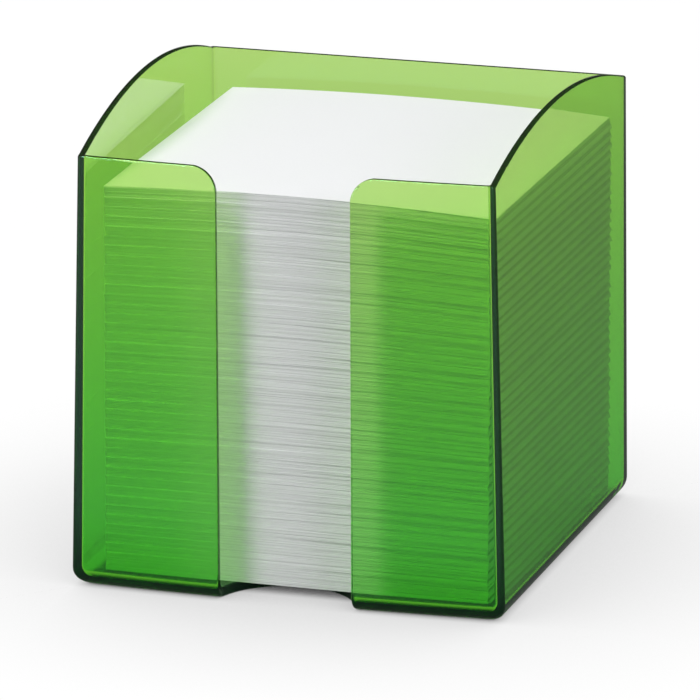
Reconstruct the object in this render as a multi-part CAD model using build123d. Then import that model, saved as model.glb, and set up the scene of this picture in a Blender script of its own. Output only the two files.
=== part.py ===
"""Memo box: a translucent moulded box, open at the top and slotted at the front,
with a stack of loose square note sheets lying in it.

Millimetres. X runs across the front, Y from the slotted front to the rear, Z up.
The origin is the middle of the footprint, on the table.
"""
import math
import os

from build123d import *

# Note sheets
sheet_side = 88.5        # square sheet, trimmed a little under the nominal 90
sheet_thickness = 0.1    # one sheet of plain note paper
sheaf_count = 40         # the stack is divided into this many handfuls of sheets
sheaf_air = 0.04         # air left under each sheaf and under the top sheet
sheaf_scatter = 0.25     # most that a sheaf lies out of line
sheaf_twist = 0.12       # most that a sheaf is turned out of line, in degrees
stack_turn = 0.6         # the whole stack lies turned clockwise, along the right-hand wall

# Room round the sheets, at the rim of the box
side_play = 1.9          # to each side wall at the front, with the stack in the middle
wall_gap = 0.3           # to the right-hand wall, which the stack leans towards
foot_gap = 0.15          # to the rounding at the foot of that wall, for the lowest sheets
front_play = 3.6         # to the front wall, at its corners
rear_play = 4.9          # to the rear wall
head_room = 7.4          # from the top sheet up to the level rim

# Moulded box
wall_rim = 1.4           # wall thickness at the rim
wall_foot = 2.0          # wall thickness at the floor
floor_thickness = 2.3
wall_height = 98.7       # table to the level rim of the front and rear walls
arch_rise = 7.9          # the side walls arch up above that rim
front_spring = 2.45      # the side walls spring in by this much at the front, table to rim
rear_spring = 0.5        # and by this much at the rear, where the rear wall ties them
front_lean = 1.15        # the front wall leans back by this much, table to rim
front_bow = 1.6          # the front wall bulges forward between its corners
base_round = 4.2         # outer edges round the base
corner_round = 1.2       # upright outer corners
corner_inside = 0.6      # upright inner corners
slot_width = 30.6        # finger slot in the front wall
slot_corner = 6.0        # rounded top corners of the two front panels
notch_depth = 15.0       # the slot runs on into the floor as a thumb notch this deep

# Sizes that follow from those above
base_width = sheet_side + 2 * (side_play + wall_rim + front_spring)
base_depth = sheet_side + front_play + rear_play + 2 * wall_rim + front_lean
box_height = wall_height + arch_rise
past_arches = box_height + arch_rise
stack_height = wall_height - floor_thickness - head_room
bow_radius = (base_width**2 / 4 + front_bow**2) / (2 * front_bow)
bow_at_slot = front_bow - bow_radius + math.sqrt(bow_radius**2 - slot_width**2 / 4)
axis_y = bow_at_slot / 2  # middle of the four corners, behind the middle of the footprint
front_y = axis_y - base_depth / 2 - front_bow
rear_y = axis_y + base_depth / 2


def plan_outline(level, inset):
    """Plan of the box at one level, drawn in by an inset: a bowed front, and sides that close in on it."""
    share = level / wall_height
    x_front = base_width / 2 - front_spring * share - inset
    x_rear = base_width / 2 - rear_spring * share - inset
    front = front_y + front_bow + front_lean * share + inset
    rear = rear_y - inset
    sides = Polyline((x_front, front), (x_rear, rear), (-x_rear, rear), (-x_front, front))
    bow = ThreePointArc((-x_front, front), (0, front - front_bow), (x_front, front))
    return Pos(0, 0, level) * make_face(sides.edges() + bow.edges())


def rounded_block(foot, foot_inset, rim_inset, corner):
    """The box's form, drawn in by insets, from a rounded foot up past the arches, with rounded corners."""
    rise = (past_arches - foot) / (wall_height - foot)
    lower = plan_outline(foot, foot_inset)
    upper = plan_outline(past_arches, foot_inset + rise * (rim_inset - foot_inset))
    block = loft([lower, upper], ruled=True)
    block = fillet(block.faces().sort_by(Axis.Z)[0].edges(), base_round - foot_inset)
    uprights = [e for e in block.edges() if abs((e @ 1 - e @ 0).Z) > e.length / 2]
    return fillet(uprights, corner)


def under_the_rim():
    """All that lies under the rim, seen from the side: level over the front and rear walls, an arch between."""
    front = front_y + front_bow + front_lean + wall_rim
    rear = rear_y - wall_rim
    beyond = base_depth
    outline = Polyline(
        (rear, wall_height),
        (rear + beyond, wall_height),
        (rear + beyond, -beyond),
        (front - beyond, -beyond),
        (front - beyond, wall_height),
        (front, wall_height),
    )
    arch = ThreePointArc((front, wall_height), ((front + rear) / 2, box_height), (rear, wall_height))
    profile = Plane.YZ * make_face(outline.edges() + arch.edges())
    return extrude(profile, base_width, both=True)


def finger_slot():
    """The way in for a finger: through the front wall, and on into the floor as a round notch."""
    x, ahead = slot_width / 2, front_y - slot_width
    inside = front_y + front_lean + wall_foot
    sides = Polyline((x, inside), (x, ahead), (-x, ahead), (-x, inside))
    notch = ThreePointArc((-x, inside), (0, front_y + notch_depth), (x, inside))
    plan = make_face(sides.edges() + notch.edges())
    return Pos(0, 0, -box_height) * extrude(plan, 3 * box_height, dir=(0, 0, 1))


def memo_box():
    """The moulded box, in one piece."""
    outside = rounded_block(0, 0, 0, corner_round)
    room = rounded_block(floor_thickness, wall_foot, wall_rim, corner_inside)
    box = (outside - room) & under_the_rim()
    box = box - finger_slot()
    corners = [
        e
        for e in box.edges()
        if abs(e.center().Z - wall_height) < 0.1
        and abs(abs(e.center().X) - slot_width / 2) < 0.1
        and e.center().Y < axis_y
    ]
    return fillet(corners, slot_corner)


def note_sheet(level, thickness, across, back, turn):
    """A square of paper, or a sheaf of them, lying at a level in the box, in a stack that leans to the right."""
    turned = math.radians(stack_turn)
    front_reach = sheet_side / 2 * (math.cos(turned) - math.sin(turned))
    rear_reach = sheet_side / 2 * (math.cos(turned) + math.sin(turned))
    rim_x = base_width / 2 - front_spring - wall_rim - wall_gap - sheaf_scatter - front_reach
    foot_x = base_width / 2 - base_round - foot_gap - rear_reach
    stack_x = foot_x + (rim_x - foot_x) * (level - floor_thickness) / stack_height
    stack_y = axis_y + (front_lean + front_play - rear_play) / 2
    sheet = Box(sheet_side, sheet_side, thickness, align=(Align.CENTER, Align.CENTER, Align.MIN))
    return Pos(stack_x + across, stack_y + back, level) * Rot(0, 0, turn - stack_turn) * sheet


os.makedirs("parts", exist_ok=True)
export_step(memo_box(), "parts/memo_box.step")

sheaf_pitch = (stack_height - sheet_thickness - sheaf_air) / sheaf_count
for number in range(sheaf_count):
    sheaf = note_sheet(
        floor_thickness + number * sheaf_pitch + sheaf_air,
        sheaf_pitch - sheaf_air,
        sheaf_scatter * math.sin(2.4 * number),
        sheaf_scatter * math.cos(1.7 * number),
        sheaf_twist * math.sin(2.0 * number),
    )
    export_step(sheaf, f"parts/note_sheaf_{number + 1:02d}.step")

top_sheet = note_sheet(
    floor_thickness + stack_height - sheet_thickness, sheet_thickness, -sheaf_scatter, 0, sheaf_twist
)
export_step(top_sheet, "parts/top_sheet.step")
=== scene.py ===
"""A translucent green memo box with a stack of loose white note sheets, on a pale table."""
import math

import bpy
import numpy as np
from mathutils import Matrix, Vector


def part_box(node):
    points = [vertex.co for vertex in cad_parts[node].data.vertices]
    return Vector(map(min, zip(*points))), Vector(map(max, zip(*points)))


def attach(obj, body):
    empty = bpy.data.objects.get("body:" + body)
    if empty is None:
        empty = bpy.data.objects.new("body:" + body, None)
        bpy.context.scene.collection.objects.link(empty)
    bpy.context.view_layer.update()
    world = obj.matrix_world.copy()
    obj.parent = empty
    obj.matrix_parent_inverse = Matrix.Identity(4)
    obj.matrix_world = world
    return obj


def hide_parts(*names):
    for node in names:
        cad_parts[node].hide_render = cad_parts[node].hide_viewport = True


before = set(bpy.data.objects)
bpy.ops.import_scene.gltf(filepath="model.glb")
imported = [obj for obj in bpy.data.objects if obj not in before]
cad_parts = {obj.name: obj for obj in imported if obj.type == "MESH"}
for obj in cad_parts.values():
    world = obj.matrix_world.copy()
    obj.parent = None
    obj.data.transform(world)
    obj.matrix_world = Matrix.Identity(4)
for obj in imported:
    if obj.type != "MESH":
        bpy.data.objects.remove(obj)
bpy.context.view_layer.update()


# The box. One injection moulding in clear green plastic: floor, rear wall, two side
# walls with arched tops and two front panels with a finger slot between them. Its walls
# thin out towards the rim, and the side walls spring in towards the slotted front.
MM = 0.001
BASE_WIDTH, BASE_DEPTH = 100.0 * MM, 100.95 * MM
WALL_HEIGHT, ARCH_RISE = 98.7 * MM, 7.9 * MM
FRONT_SPRING, REAR_SPRING, FRONT_LEAN = 2.45 * MM, 0.5 * MM, 1.15 * MM
WALL_FOOT, WALL_RIM, FLOOR = 2.0 * MM, 1.4 * MM, 2.3 * MM
FRONT_BOW = 1.6 * MM
BASE_ROUND, CORNER_ROUND, CORNER_INSIDE, EDGE_ROUND = 4.2 * MM, 1.2 * MM, 0.6 * MM, 0.42 * MM
SLOT_WIDTH, SLOT_CORNER, NOTCH_DEPTH = 30.6 * MM, 6.0 * MM, 15.0 * MM
PAST_ARCHES = WALL_HEIGHT + 2 * ARCH_RISE
BEYOND, ABOVE = 100.0 * MM, 300.0 * MM
WELD, OVERCUT = 0.005 * MM, 0.05 * MM
QUARTER = math.pi / 2
BOW_STEPS, CORNER_STEPS, SIDE_STEPS, FOOT_RINGS, WALL_RINGS = 32, 4, 8, 9, 9
ARCH_STEPS, NOTCH_STEPS, FLARE_STEPS = 64, 28, 16
SHARP_EDGE, SMOOTH_EDGE = math.radians(50), math.radians(40)
REAR_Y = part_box("memo_box")[1].y
FRONT_Y = REAR_Y - BASE_DEPTH - FRONT_BOW


def pick(piece):
    """Selects this piece alone and makes it the active one."""
    bpy.ops.object.select_all(action="DESELECT")
    piece.select_set(True)
    bpy.context.view_layer.objects.active = piece


def arc(centre, radius, first, last, steps):
    """Points along a circular arc, from one angle to another."""
    turns = [first + (last - first) * i / steps for i in range(steps + 1)]
    return [(centre[0] + radius * math.cos(a), centre[1] + radius * math.sin(a)) for a in turns]


def between(first, last, steps):
    """Points that divide a straight line, without its two ends."""
    return [tuple(a + (b - a) * i / steps for a, b in zip(first, last)) for i in range(1, steps)]


def plan(level, inset, corner):
    """Plan of the box at one level, drawn in by an inset: a bowed front, and sides that close in on it."""
    share = level / WALL_HEIGHT
    x_front = BASE_WIDTH / 2 - FRONT_SPRING * share - inset
    x_rear = BASE_WIDTH / 2 - REAR_SPRING * share - inset
    front = FRONT_Y + FRONT_BOW + FRONT_LEAN * share + inset
    rear = REAR_Y - inset
    slope = (x_rear - x_front) / (rear - front)
    skew = math.atan(slope)
    bow = (x_front**2 + FRONT_BOW**2) / (2 * FRONT_BOW)
    hub = front - FRONT_BOW + bow
    ahead, behind = front + corner, rear - corner
    # The bow and the side both lean, so the corner's centre is closed in on in a few rounds.
    for _ in range(6):
        side = x_front + slope * (ahead - front) - corner / math.cos(skew)
        ahead = hub - math.sqrt((bow - corner) ** 2 - side**2)
    back = x_front + slope * (behind - front) - corner / math.cos(skew)
    turn = math.atan2(side, hub - ahead)
    right = arc((side, ahead), corner, -QUARTER + turn, -skew, CORNER_STEPS)[1:]
    rear_right = arc((back, behind), corner, -skew, QUARTER, CORNER_STEPS)
    right += between(right[-1], rear_right[0], SIDE_STEPS) + rear_right
    left = [(-x, y) for x, y in reversed(right)]
    return arc((0, hub), bow, -QUARTER - turn, -QUARTER + turn, BOW_STEPS) + right + left


def hoop(outline, level, filled="NOTHING"):
    """A closed outline at one level, as a ring of edges or as one face."""
    bpy.ops.object.select_all(action="DESELECT")
    bpy.ops.mesh.primitive_circle_add(vertices=len(outline), fill_type=filled)
    ring = bpy.context.object
    for vertex, spot in zip(ring.data.vertices, outline):
        vertex.co = (*spot, level)
    return ring


def leaning_block(name, foot, foot_inset, rim_inset, corner):
    """The box's form, drawn in by insets, from a rounded foot up past the arches."""
    foot_round = BASE_ROUND - foot_inset
    turns = np.linspace(0, QUARTER, FOOT_RINGS)
    rings = [(foot_round * (1 - math.sin(a)), foot_round * (1 - math.cos(a))) for a in turns]
    rings += [(0, rise) for rise in np.linspace(foot_round, PAST_ARCHES - foot, WALL_RINGS)[1:]]
    hoops = []
    for tuck, rise in rings:
        inset = foot_inset + (rim_inset - foot_inset) * rise / (WALL_HEIGHT - foot) + tuck
        hoops.append(hoop(plan(foot + rise, inset, corner), foot + rise))
    for ring in hoops:
        ring.select_set(True)
    bpy.ops.object.join()
    block = bpy.context.object
    block.name = block.data.name = name
    bpy.ops.object.mode_set(mode="EDIT")
    bpy.ops.mesh.select_all(action="SELECT")
    bpy.ops.mesh.bridge_edge_loops()
    bpy.ops.mesh.select_all(action="SELECT")
    bpy.ops.mesh.fill_holes(sides=0)
    bpy.ops.mesh.normals_make_consistent(inside=False)
    bpy.ops.object.mode_set(mode="OBJECT")
    return block


def pulled_outline(name, outline, axis, start, end):
    """A filled outline, drawn square to an axis and pulled out along it into a closed solid."""
    piece = hoop(outline, start, "NGON")
    piece.name = piece.data.name = name
    order = {"X": (2, 0, 1), "Y": (0, 2, 1), "Z": (0, 1, 2)}[axis]
    for vertex in piece.data.vertices:
        vertex.co = [vertex.co[i] for i in order]
    pull = (0, 0, end - start)
    bpy.ops.object.mode_set(mode="EDIT")
    bpy.ops.mesh.select_all(action="SELECT")
    bpy.ops.mesh.extrude_region_move(TRANSFORM_OT_translate={"value": [pull[i] for i in order]})
    bpy.ops.mesh.select_all(action="SELECT")
    bpy.ops.mesh.normals_make_consistent(inside=False)
    bpy.ops.object.mode_set(mode="OBJECT")
    return piece


def finish_with(piece, kind, **settings):
    """Adds one modifier to a piece and applies it."""
    pick(piece)
    change = piece.modifiers.new(kind.title(), kind)
    for key, value in settings.items():
        setattr(change, key, value)
    bpy.ops.object.modifier_apply(modifier=change.name)


def cut_away(piece, cutter):
    """Takes a cutter's shape out of a piece, and the cutter with it."""
    finish_with(piece, "BOOLEAN", operation="DIFFERENCE", solver="EXACT", object=cutter)
    bpy.data.objects.remove(cutter)
    bpy.ops.object.mode_set(mode="EDIT")
    bpy.ops.mesh.select_all(action="SELECT")
    bpy.ops.mesh.remove_doubles(threshold=WELD)
    bpy.ops.object.mode_set(mode="OBJECT")


moulding = leaning_block("moulding", 0, 0, 0, CORNER_ROUND)
cut_away(moulding, leaning_block("room", FLOOR, WALL_FOOT, WALL_RIM, CORNER_INSIDE))

# The rim: level over the front and rear walls, and an arch over each side wall between them.
rim_front, rim_rear = FRONT_Y + FRONT_BOW + FRONT_LEAN + WALL_RIM, REAR_Y - WALL_RIM
middle, half = (rim_front + rim_rear) / 2, (rim_rear - rim_front) / 2
arch_radius = (half**2 + ARCH_RISE**2) / (2 * ARCH_RISE)
arch_turn = math.asin(half / arch_radius)
arch_centre = (middle, WALL_HEIGHT + ARCH_RISE - arch_radius)
over = [(middle - BEYOND, WALL_HEIGHT)]
over += arc(arch_centre, arch_radius, QUARTER + arch_turn, QUARTER - arch_turn, ARCH_STEPS)
over += [(middle + BEYOND, WALL_HEIGHT), (middle + BEYOND, ABOVE), (middle - BEYOND, ABOVE)]
cut_away(moulding, pulled_outline("over_rim", over, "X", -BEYOND, BEYOND))

# The finger slot, its flared top corners, and the thumb notch that it runs into.
side, inner = SLOT_WIDTH / 2, FRONT_Y + FRONT_LEAN + WALL_FOOT
notch_rise = FRONT_Y + NOTCH_DEPTH - inner
notch_radius = (side**2 + notch_rise**2) / (2 * notch_rise)
notch_turn = math.acos((notch_radius - notch_rise) / notch_radius)
notch_centre = (0, FRONT_Y + NOTCH_DEPTH - notch_radius)
slot = [(-side, FRONT_Y - BEYOND), (side, FRONT_Y - BEYOND)]
slot += arc(notch_centre, notch_radius, QUARTER - notch_turn, QUARTER + notch_turn, NOTCH_STEPS)
cut_away(moulding, pulled_outline("slot", slot, "Z", -BEYOND, ABOVE))
reach = SLOT_CORNER + OVERCUT
flare = arc((-side - SLOT_CORNER, WALL_HEIGHT - SLOT_CORNER), reach, QUARTER, 0, FLARE_STEPS)
flare += arc((side + SLOT_CORNER, WALL_HEIGHT - SLOT_CORNER), reach, 2 * QUARTER, QUARTER, FLARE_STEPS)
flare += [(side + SLOT_CORNER, ABOVE), (-side - SLOT_CORNER, ABOVE)]
cut_away(moulding, pulled_outline("flare", flare, "Y", FRONT_Y - BEYOND, middle))

# Every edge that the cuts left sharp is softened, as the polished mould leaves it.
finish_with(
    moulding,
    "BEVEL",
    limit_method="ANGLE",
    angle_limit=SHARP_EDGE,
    width=EDGE_ROUND,
    segments=3,
    use_clamp_overlap=False,
)
pick(moulding)
bpy.ops.object.shade_smooth_by_angle(angle=SMOOTH_EDGE)
finish_with(moulding, "WEIGHTED_NORMAL", keep_sharp=True, weight=80)


class Wire:
    """A node's output, so that shader maths reads as plain expressions."""

    def __init__(self, nodes, socket):
        self.nodes, self.socket = nodes, socket

    def maths(self, operation, *values):
        return self.nodes.add("ShaderNodeMath", {"operation": operation}, dict(enumerate(values)))

    def __add__(self, other):
        return self.maths("ADD", self, other)

    def __sub__(self, other):
        return self.maths("SUBTRACT", self, other)

    def __rsub__(self, other):
        return self.maths("SUBTRACT", other, self)

    def __mul__(self, other):
        return self.maths("MULTIPLY", self, other)

    __radd__, __rmul__ = __add__, __mul__


class Nodes:
    """The nodes of one finish, or of the studio's surroundings."""

    def __init__(self, owner):
        owner.use_nodes = True
        self.owner, self.tree = owner, owner.node_tree
        self.tree.nodes.clear()

    def add(self, kind, settings=None, sockets=None, output=0):
        """Adds a node: its settings first, then a value or a wire for each of its sockets."""
        node = self.tree.nodes.new(kind)
        for key, value in (settings or {}).items():
            if key == "stops":
                for stop, (place, colour) in zip(node.color_ramp.elements, value):
                    stop.position, stop.color = place, (*colour, 1)
            else:
                setattr(node, key, value)
        for key, value in (sockets or {}).items():
            if isinstance(value, Wire):
                self.tree.links.new(value.socket, node.inputs[key])
            else:
                node.inputs[key].default_value = value
        return Wire(self, node.outputs[output]) if node.outputs else None


# The green deepens towards the foot: partly for the thicker wall there, partly as painted shade on the lower
# walls.
GREEN_AND_SHADE_AT_FOOT, GREEN_AT_RIM = (0.32, 0.80, 0.43), (0.65, 0.85, 0.47)
GREEN_SHEEN, GREEN_SHADOW = (0.45, 1.0, 0.75, 1), (0.40, 0.59, 0.43, 1)
GREEN_BODY, BODY_DENSITY = (0.75, 0.95, 0.12, 1), 600.0
PLASTIC_IOR, CLEARNESS = 1.5, 0.98


def green_plastic():
    """Clear green plastic, polished, with the faint waves and hairline scuffs of a moulding in use."""
    nodes = Nodes(bpy.data.materials.new("green_plastic"))
    place = nodes.add("ShaderNodeTexCoord", output="Object")
    waves = nodes.add("ShaderNodeTexNoise", sockets={"Vector": place, "Scale": 45.0, "Detail": 1.0})
    scuffs = nodes.add("ShaderNodeTexNoise", sockets={"Vector": place, "Scale": 900.0, "Detail": 4.0})
    bump = nodes.add("ShaderNodeBump", sockets={"Height": waves, "Strength": 0.02, "Distance": 0.0004})
    level = nodes.add("ShaderNodeSeparateXYZ", sockets={"Vector": place}, output="Z")
    # Painted shade in part: the base colour darkens from rim to foot.
    depth = nodes.add(
        "ShaderNodeValToRGB",
        {"stops": [(0.0, GREEN_AND_SHADE_AT_FOOT), (1.0, GREEN_AT_RIM)]},
        {"Fac": level * (1 / WALL_HEIGHT)},
    )
    body = nodes.add(
        "ShaderNodeBsdfPrincipled",
        sockets={
            "Base Color": depth,
            "Roughness": 0.02 + 0.03 * scuffs,
            "Transmission Weight": CLEARNESS,
            "IOR": PLASTIC_IOR,
            "Specular Tint": GREEN_SHEEN,
            "Normal": bump,
        },
    )
    shadow = nodes.add("ShaderNodeLightPath", output="Is Shadow Ray")
    lit = nodes.add("ShaderNodeBsdfTransparent", sockets={"Color": GREEN_SHADOW})
    shown = nodes.add("ShaderNodeMixShader", sockets={0: shadow, 1: body, 2: lit})
    tint = nodes.add("ShaderNodeVolumeAbsorption", sockets={"Color": GREEN_BODY, "Density": BODY_DENSITY})
    nodes.add("ShaderNodeOutputMaterial", sockets={"Surface": shown, "Volume": tint})
    return nodes.owner


moulding.data.materials.clear()
moulding.data.materials.append(green_plastic())
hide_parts("memo_box")
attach(moulding, "box")


# The note sheets. Loose squares of uncoated white paper, guillotined in one block and
# dropped in, so that they cling together in small bundles, a little out of line and with
# air between them. Nothing holds them: the stack leans to the right and droops at its sides.
SHEET_SIDE, SHEET, SHEETS_PER_SHEAF, SHEAF_COUNT = 88.5 * MM, 0.1 * MM, 20, 40
STACK_TURN, SHEAF_TWIST = math.radians(-0.6), math.radians(0.12)
STACK_MIDDLE = (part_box("top_sheet")[0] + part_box("top_sheet")[1]) / 2
BUNDLE_FEWEST, BUNDLE_MOST = 3, 8
BUNDLE_SHIFT, SHEET_SHIFT, SHIFT_MOST = 0.025 * MM, 0.012 * MM, 0.08 * MM
RIGHT_OPENING = np.array([0.0, 2.0, 0.0, 6.0])
SHEAF_SCATTER, JOGGED, SHEAF_FAN, FLAT_SHEAVES = 0.25 * MM, 0.85, math.radians(0.55), 3
SCATTER_ACROSS, SCATTER_BACK, TWIST_PACE = 2.4, 1.7, 2.0
CLING_GAP, BUNDLE_GAP, GAP_SLANT = (0.02, 0.1), (0.3, 0.7), (0.8, 1.0)
CUT_TONE, BUNDLE_GAP_SHADE = (0.0, 0.3), (0.1, 0.4)
OPENING_AT, GAP_SHADE_DEPTH, GAP_SHADE_REACH = (8, 13), 1.4, 3
CROWN, DROOP, CREST, CORNER_DROOP = 0.4 * MM, 1.1 * MM, -0.1, 0.2 * MM
WHITE_PAPER, DARK_CUT_AND_GAP_SHADE = (0.865, 0.87, 0.885), (0.30, 0.30, 0.31)
LEAF_PITCH = 4 * SHEET
chance = np.random.default_rng(21)


def sagged(spots):
    """Moves points of the stack up or down as the loose paper lies: crowned, and drooping at the sides."""
    across = (spots[:, 0] - STACK_MIDDLE.x) / (SHEET_SIDE / 2)
    back = (spots[:, 1] - STACK_MIDDLE.y) / (SHEET_SIDE / 2)
    height = (spots[:, 2] - FLOOR) / (STACK_MIDDLE.z - FLOOR)
    corner = np.clip(across, 0, 1) * (1 - back) / 2
    spots[:, 2] += height * (CROWN - DROOP * (across - CREST) ** 2 - CORNER_DROOP * corner)
    return spots


def note_paper():
    """Uncoated white paper: a faint fibre grain, cut edges that differ a little from sheet to sheet, and
    painted shade on the cut edges over the air gaps between bundles, strongest on the right-hand side.
    """
    nodes = Nodes(bpy.data.materials.new("note_paper"))
    place = nodes.add("ShaderNodeTexCoord", output="Object")
    normal = nodes.add("ShaderNodeNewGeometry", output="True Normal")
    flat = nodes.add("ShaderNodeSeparateXYZ", sockets={"Vector": normal}, output="Z")
    edge = 1 - flat.maths("ABSOLUTE", flat)
    tone_and_gap_shade = nodes.add("ShaderNodeAttribute", {"attribute_name": "cut_tone_and_gap_shade"}, output="Fac")
    fibre = nodes.add("ShaderNodeTexNoise", sockets={"Vector": place, "Scale": 1800.0, "Detail": 5.0})
    sideways = nodes.add("ShaderNodeSeparateXYZ", sockets={"Vector": normal}, output="X")
    gap_shade = nodes.add("ShaderNodeAttribute", {"attribute_name": "gap_shade"}, output="Fac")
    # Painted shade: the gap shade darkens only the cut edges that face right.
    shade = 0.6 * edge * tone_and_gap_shade + gap_shade * sideways.maths("MAXIMUM", sideways, 0.0) + 0.07 * fibre
    # The dark end of the ramp is mostly reached by the painted gap shade.
    colour = nodes.add(
        "ShaderNodeValToRGB",
        {"stops": [(0.0, WHITE_PAPER), (1.0, DARK_CUT_AND_GAP_SHADE)]},
        {"Fac": shade},
    )
    grain = nodes.add("ShaderNodeBump", sockets={"Height": fibre, "Strength": 0.12, "Distance": 0.00005})
    body = nodes.add(
        "ShaderNodeBsdfPrincipled",
        sockets={
            "Base Color": colour,
            "Roughness": 0.82 + 0.12 * fibre,
            "Normal": grain,
            "Specular IOR Level": 0.25,
        },
    )
    nodes.add("ShaderNodeOutputMaterial", sockets={"Surface": body})
    return nodes.owner


paper = note_paper()


def flat_sheet(name, cells):
    """One flat sheet of paper with its thickness, about the middle of the table."""
    bpy.ops.object.select_all(action="DESELECT")
    bpy.ops.mesh.primitive_grid_add(x_subdivisions=cells, y_subdivisions=cells, size=SHEET_SIDE)
    piece = bpy.context.object
    piece.name = piece.data.name = name
    finish_with(piece, "SOLIDIFY", thickness=SHEET, offset=1.0)
    return piece


def spots_of(piece):
    """The points of a piece's mesh, one to a row."""
    spots = np.empty(len(piece.data.vertices) * 3)
    piece.data.vertices.foreach_get("co", spots)
    return spots.reshape(-1, 3)


def settle(piece, spots, node, turn):
    """Turns a paper piece's points, puts them where its node lies in the box, and gives it its finish."""
    low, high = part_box(node)
    x = spots[:, 0] * math.cos(turn) - spots[:, 1] * math.sin(turn)
    y = spots[:, 0] * math.sin(turn) + spots[:, 1] * math.cos(turn)
    spots = np.stack([x + (low.x + high.x) / 2, y + (low.y + high.y) / 2, spots[:, 2] + low.z], 1)
    piece.data.vertices.foreach_set("co", sagged(spots).ravel())
    piece.data.update()
    piece.data.materials.clear()
    piece.data.materials.append(paper)
    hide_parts(node)


# One sheaf is modelled, its sheets set well apart so that each can be told by its level.
model = flat_sheet("sheaf_model", 4)
finish_with(
    model,
    "ARRAY",
    count=SHEETS_PER_SHEAF,
    use_relative_offset=False,
    use_constant_offset=True,
    constant_offset_displace=(0, 0, LEAF_PITCH),
)
flat_spots = spots_of(model)
leaf = np.rint(flat_spots[:, 2] / LEAF_PITCH - 0.1).astype(int)
in_leaf = flat_spots[:, 2] - leaf * LEAF_PITCH
across, back = (flat_spots[:, :2] / SHEET_SIDE + 0.5).T
corner_shares = np.stack(
    [(1 - across) * (1 - back), across * (1 - back), (1 - across) * back, across * back], 1
)
left_in_bundle = 0
for number in range(SHEAF_COUNT):
    node = f"note_sheaf_{number + 1:02d}"
    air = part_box(node)[1].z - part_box(node)[0].z - SHEETS_PER_SHEAF * SHEET
    gaps = chance.uniform(*CLING_GAP, (SHEETS_PER_SHEAF, 4))
    shifts = np.empty((SHEETS_PER_SHEAF, 2))
    tones_and_gap_shades = chance.uniform(*CUT_TONE, SHEETS_PER_SHEAF)
    for sheet in range(SHEETS_PER_SHEAF):
        if left_in_bundle == 0:
            left_in_bundle = int(chance.integers(BUNDLE_FEWEST, BUNDLE_MOST))
            bundle_shift = chance.normal(0, BUNDLE_SHIFT, 2)
            gaps[sheet] = chance.uniform(*BUNDLE_GAP) * chance.uniform(*GAP_SLANT, 4)
            # The first sheet of a bundle, over its air gap, gets painted shade on its cut edges.
            tones_and_gap_shades[sheet] += chance.uniform(*BUNDLE_GAP_SHADE)
        left_in_bundle -= 1
        shifts[sheet] = bundle_shift + chance.normal(0, SHEET_SHIFT, 2)
    opening = int(chance.integers(*OPENING_AT))
    gaps[opening] += RIGHT_OPENING
    # Painted shadow lines: the sheets round the right-hand opening are darkened on the right side.
    gap_shades = GAP_SHADE_DEPTH - np.abs(np.arange(SHEETS_PER_SHEAF) - opening) / GAP_SHADE_REACH
    gap_shades = np.clip(gap_shades, 0.1 * tones_and_gap_shades, 1)
    gaps[0] = 0
    levels = np.cumsum(gaps, 0) / gaps.sum(0) * air + np.arange(SHEETS_PER_SHEAF)[:, None] * SHEET
    spots = flat_spots.copy()
    spots[:, :2] += np.clip(shifts, -SHIFT_MOST, SHIFT_MOST)[leaf]
    scatter = np.array([math.sin(SCATTER_ACROSS * number), math.cos(SCATTER_BACK * number)])
    spots[:, :2] -= JOGGED * SHEAF_SCATTER * scatter
    fan = SHEAF_FAN * min(1, number / FLAT_SHEAVES) * (leaf / (SHEETS_PER_SHEAF - 1) - 0.5)
    spots[:, 0] -= fan * (flat_spots[:, 1] + SHEET_SIDE / 2) * (flat_spots[:, 0] > 0)
    spots[:, 1] += fan * flat_spots[:, 0]
    spots[:, 2] = in_leaf + (levels[leaf] * corner_shares).sum(1)
    sheaf = model.copy()
    sheaf.data = model.data.copy()
    sheaf.name = sheaf.data.name = f"sheaf_{number + 1:02d}"
    bpy.context.collection.objects.link(sheaf)
    sheaf.data.attributes.new("cut_tone_and_gap_shade", "FLOAT", "POINT").data.foreach_set("value", tones_and_gap_shades[leaf])
    sheaf.data.attributes.new("gap_shade", "FLOAT", "POINT").data.foreach_set("value", gap_shades[leaf])
    settle(sheaf, spots, node, STACK_TURN + SHEAF_TWIST * math.sin(TWIST_PACE * number))
    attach(sheaf, "note_stack")
bpy.data.objects.remove(model)


# The top sheet. The one that is written on next: a single leaf of the same paper,
# lying loose on the stack and following its crown.
top = flat_sheet("top_sheet_leaf", 24)
settle(top, spots_of(top), "top_sheet", STACK_TURN + SHEAF_TWIST)
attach(top, "top_sheet")


# The studio. A pale table top that runs out of sight, with soft shade painted round the box,
# in a white surround. A key lamp stands high at the left front and a weak one overhead, with
# a small fill lamp close by at the left and a broad one at the right.
TABLE_SIDE, TABLE_DROP = 24.0, 0.06 * MM
SHADE_DEPTH, SHADE_REACH = 0.45, 75 * MM
FRONT_FROM, FRONT_TO, FRONT_SHEEN = -0.05, -0.12, 0.7
bpy.ops.object.select_all(action="DESELECT")
bpy.ops.mesh.primitive_plane_add(size=TABLE_SIDE, location=(0, 0, -TABLE_DROP))
table = bpy.context.object
table.name = "table"
bpy.ops.object.transform_apply(location=True, rotation=True, scale=True)


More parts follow.
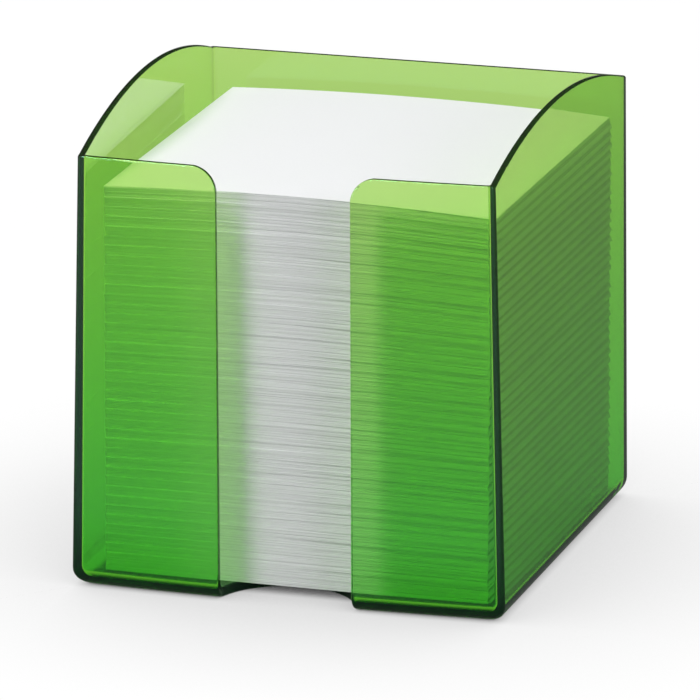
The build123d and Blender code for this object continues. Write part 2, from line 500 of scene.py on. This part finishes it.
def as_seen(nodes, place, plain, through, behind):
    """Brightness of the surroundings: white to the eye and in front of the box, plain for what they light."""
    straight = nodes.add("ShaderNodeLightPath", output="Is Camera Ray")
    scattered = nodes.add("ShaderNodeLightPath", output="Diffuse Depth")
    in_view = 1 - scattered.maths("MINIMUM", scattered, 1.0)
    bent = in_view * nodes.add("ShaderNodeLightPath", output="Is Transmission Ray")
    thrown_back = in_view * nodes.add("ShaderNodeLightPath", output="Is Glossy Ray") - bent
    thrown_back = thrown_back.maths("MAXIMUM", thrown_back, 0.0)
    depth = nodes.add("ShaderNodeSeparateXYZ", sockets={"Vector": place}, output="Y")
    ahead = nodes.add(
        "ShaderNodeMapRange",
        {"interpolation_type": "SMOOTHSTEP"},
        {"Value": depth, "From Min": FRONT_FROM, "From Max": FRONT_TO},
    )
    mirrored = thrown_back * (behind + (FRONT_SHEEN - behind) * ahead)
    other = plain * (1 - bent - thrown_back)
    return straight.maths("MAXIMUM", straight, other + through * bent + mirrored)


nodes = Nodes(bpy.data.materials.new("pale_table"))
spot = nodes.add("ShaderNodeTexCoord", output="Object")
speckle = nodes.add("ShaderNodeTexNoise", sockets={"Vector": spot, "Scale": 6.0, "Detail": 2.0})
# Painted shade: an ambient occlusion node darkens the table's glow round the box, in place of a cast shadow.
open_sky = nodes.add("ShaderNodeAmbientOcclusion", {"samples": 8}, {"Distance": SHADE_REACH}, output="AO")
straight = nodes.add("ShaderNodeLightPath", output="Is Camera Ray")
shade = open_sky.maths("POWER", open_sky, SHADE_DEPTH * (0.7 + 0.3 * straight)) + 0.01 * speckle
seen_top = nodes.add("ShaderNodeEmission", sockets={"Color": shade, "Strength": 1.0})
dim_top = nodes.add("ShaderNodeBsdfDiffuse", sockets={"Color": (0.3, 0.3, 0.3, 1)})
in_sight = as_seen(nodes, spot, plain=0.0, through=0.8, behind=0.12)
both = nodes.add("ShaderNodeMixShader", sockets={0: in_sight, 1: dim_top, 2: seen_top})
nodes.add("ShaderNodeOutputMaterial", sockets={"Surface": both})
table.data.materials.append(nodes.owner)

world = bpy.data.worlds.new("white_surround")
bpy.context.scene.world = world
nodes = Nodes(world)
away = nodes.add("ShaderNodeTexCoord", output="Generated")
glow = as_seen(nodes, away, plain=0.25, through=0.7, behind=0.02)
white = nodes.add("ShaderNodeBackground", sockets={"Color": (1, 1, 1, 1), "Strength": glow})
nodes.add("ShaderNodeOutputWorld", sockets={"Surface": white})


def soft_lamp(name, place, size, power):
    """A round soft lamp, turned towards the middle of the box."""
    light = bpy.data.lights.new(name, "AREA")
    light.shape, light.size, light.energy = "DISK", size, power
    lamp = bpy.data.objects.new(name, light)
    lamp.location = place
    aim = Vector((0, 0, WALL_HEIGHT / 2)) - lamp.location
    lamp.rotation_euler = aim.to_track_quat("-Z", "Y").to_euler()
    bpy.context.collection.objects.link(lamp)
    return lamp


off_the_table = bpy.data.collections.new("all_but_the_table")
off_the_table.objects.link(table)
off_the_table.collection_objects[0].light_linking.link_state = "EXCLUDE"
for lamp in (
    soft_lamp("key_left", (-0.482, -0.575, 1.299), 0.6, 14.5),
    soft_lamp("overhead", (0.0, 0.15, 1.3), 0.6, 2.5),
    soft_lamp("fill_left", (-0.22, -0.30, 0.10), 0.15, 0.32),
    soft_lamp("fill_right", (1.2, -0.6, 0.35), 0.8, 6.2),
):
    lamp.light_linking.receiver_collection = off_the_table


# The camera. A long lens a few steps away, looking a little down on the box from the
# right of its slotted front.
camera = bpy.data.objects.new("camera", bpy.data.cameras.new("camera"))
camera.data.sensor_width, camera.data.lens = 36.0, 447.095
camera.data.clip_end = 100.0
camera.location = (0.55750, -1.78019, 0.59478)
camera.rotation_euler = [math.radians(a) for a in (73.5640, 0.3794, 17.2910)]
bpy.context.collection.objects.link(camera)
bpy.context.scene.camera = camera
bpy.context.scene.view_settings.view_transform = "Standard"
